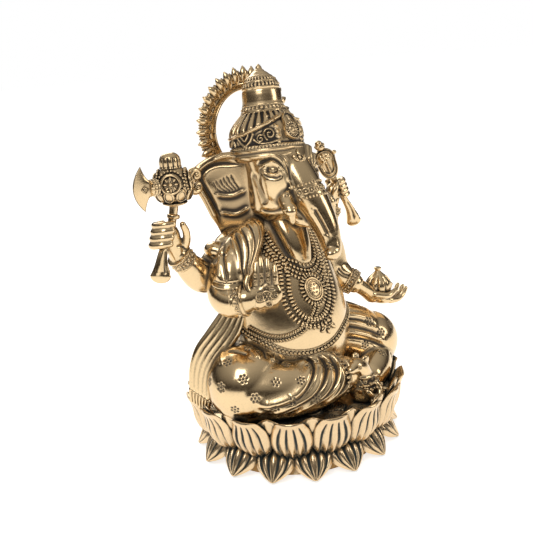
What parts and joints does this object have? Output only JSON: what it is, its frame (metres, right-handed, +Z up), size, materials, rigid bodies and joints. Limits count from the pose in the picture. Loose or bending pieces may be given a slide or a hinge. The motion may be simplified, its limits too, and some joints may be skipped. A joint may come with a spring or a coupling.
{
  "type": "seated deity statue",
  "caption": "Seated elephant-headed four-armed deity statue in antiqued brass, with a tall crown, a flame arch and a mouse, on a double lotus base.",
  "frame": {"origin": "on the ground, on the vertical axis of the oval lotus base", "axes": "+Z up, the figure faces -Y, and its own right hand is on the -X side"},
  "size_m": [0.1595, 0.1134, 0.2002],
  "materials": {
    "polished_brass": "hand-polished cast brass, glossy, thin brown toning in the hollows",
    "antique_brass": "cast brass with a dark brown-black wash left in the relief and the high spots buffed bright",
    "patina_brass": "cast brass under a dark grey-green patina, only the raised relief rubbed bright",
    "plain_steel": "plain zinc-plated steel fixing, hidden under the base"
  },
  "bodies": {
    "root": {"lotus_drum": "patina_brass", "seat_plate": "patina_brass", "upper_petals": "antique_brass", "lower_petals": "antique_brass", "inner_petals": "antique_brass", "torso": "polished_brass", "right_leg": "polished_brass", "left_leg": "polished_brass", "right_foot": "antique_brass", "left_foot": "antique_brass", "mouse": "antique_brass", "ladoo": "antique_brass", "head": "polished_brass", "trunk": "polished_brass", "right_ear": "polished_brass", "left_ear": "polished_brass", "right_tusk": "polished_brass", "left_tusk": "polished_brass", "crown": "antique_brass", "crown_finial": "antique_brass", "crown_medallion": "antique_brass", "halo_arch": "antique_brass", "halo_flames": "antique_brass", "rear_right_arm": "polished_brass", "rear_left_arm": "polished_brass", "front_right_arm": "polished_brass", "front_left_arm": "polished_brass", "axe_handle": "antique_brass", "bud_handle": "antique_brass", "rear_right_hand": "antique_brass", "rear_left_hand": "antique_brass", "front_right_hand": "antique_brass", "front_left_hand": "antique_brass", "rear_right_bangle": "antique_brass", "rear_left_bangle": "antique_brass", "front_right_bangle": "antique_brass", "front_left_bangle": "antique_brass", "axe_knob": "antique_brass", "axe_cap": "antique_brass", "axe_blade": "polished_brass", "axe_curl": "antique_brass", "lotus_bud": "antique_brass", "modak": "polished_brass", "shawl_shoulder": "polished_brass", "shawl_back": "polished_brass", "shawl_tail": "polished_brass", "necklace": "antique_brass", "garland": "antique_brass", "belly_band": "antique_brass", "bead_belt": "antique_brass", "pendant": "antique_brass", "fixing_stud": "plain_steel", "fixing_nut": "plain_steel", "fixing_washer": "plain_steel"}
  },
  "joints": []
}
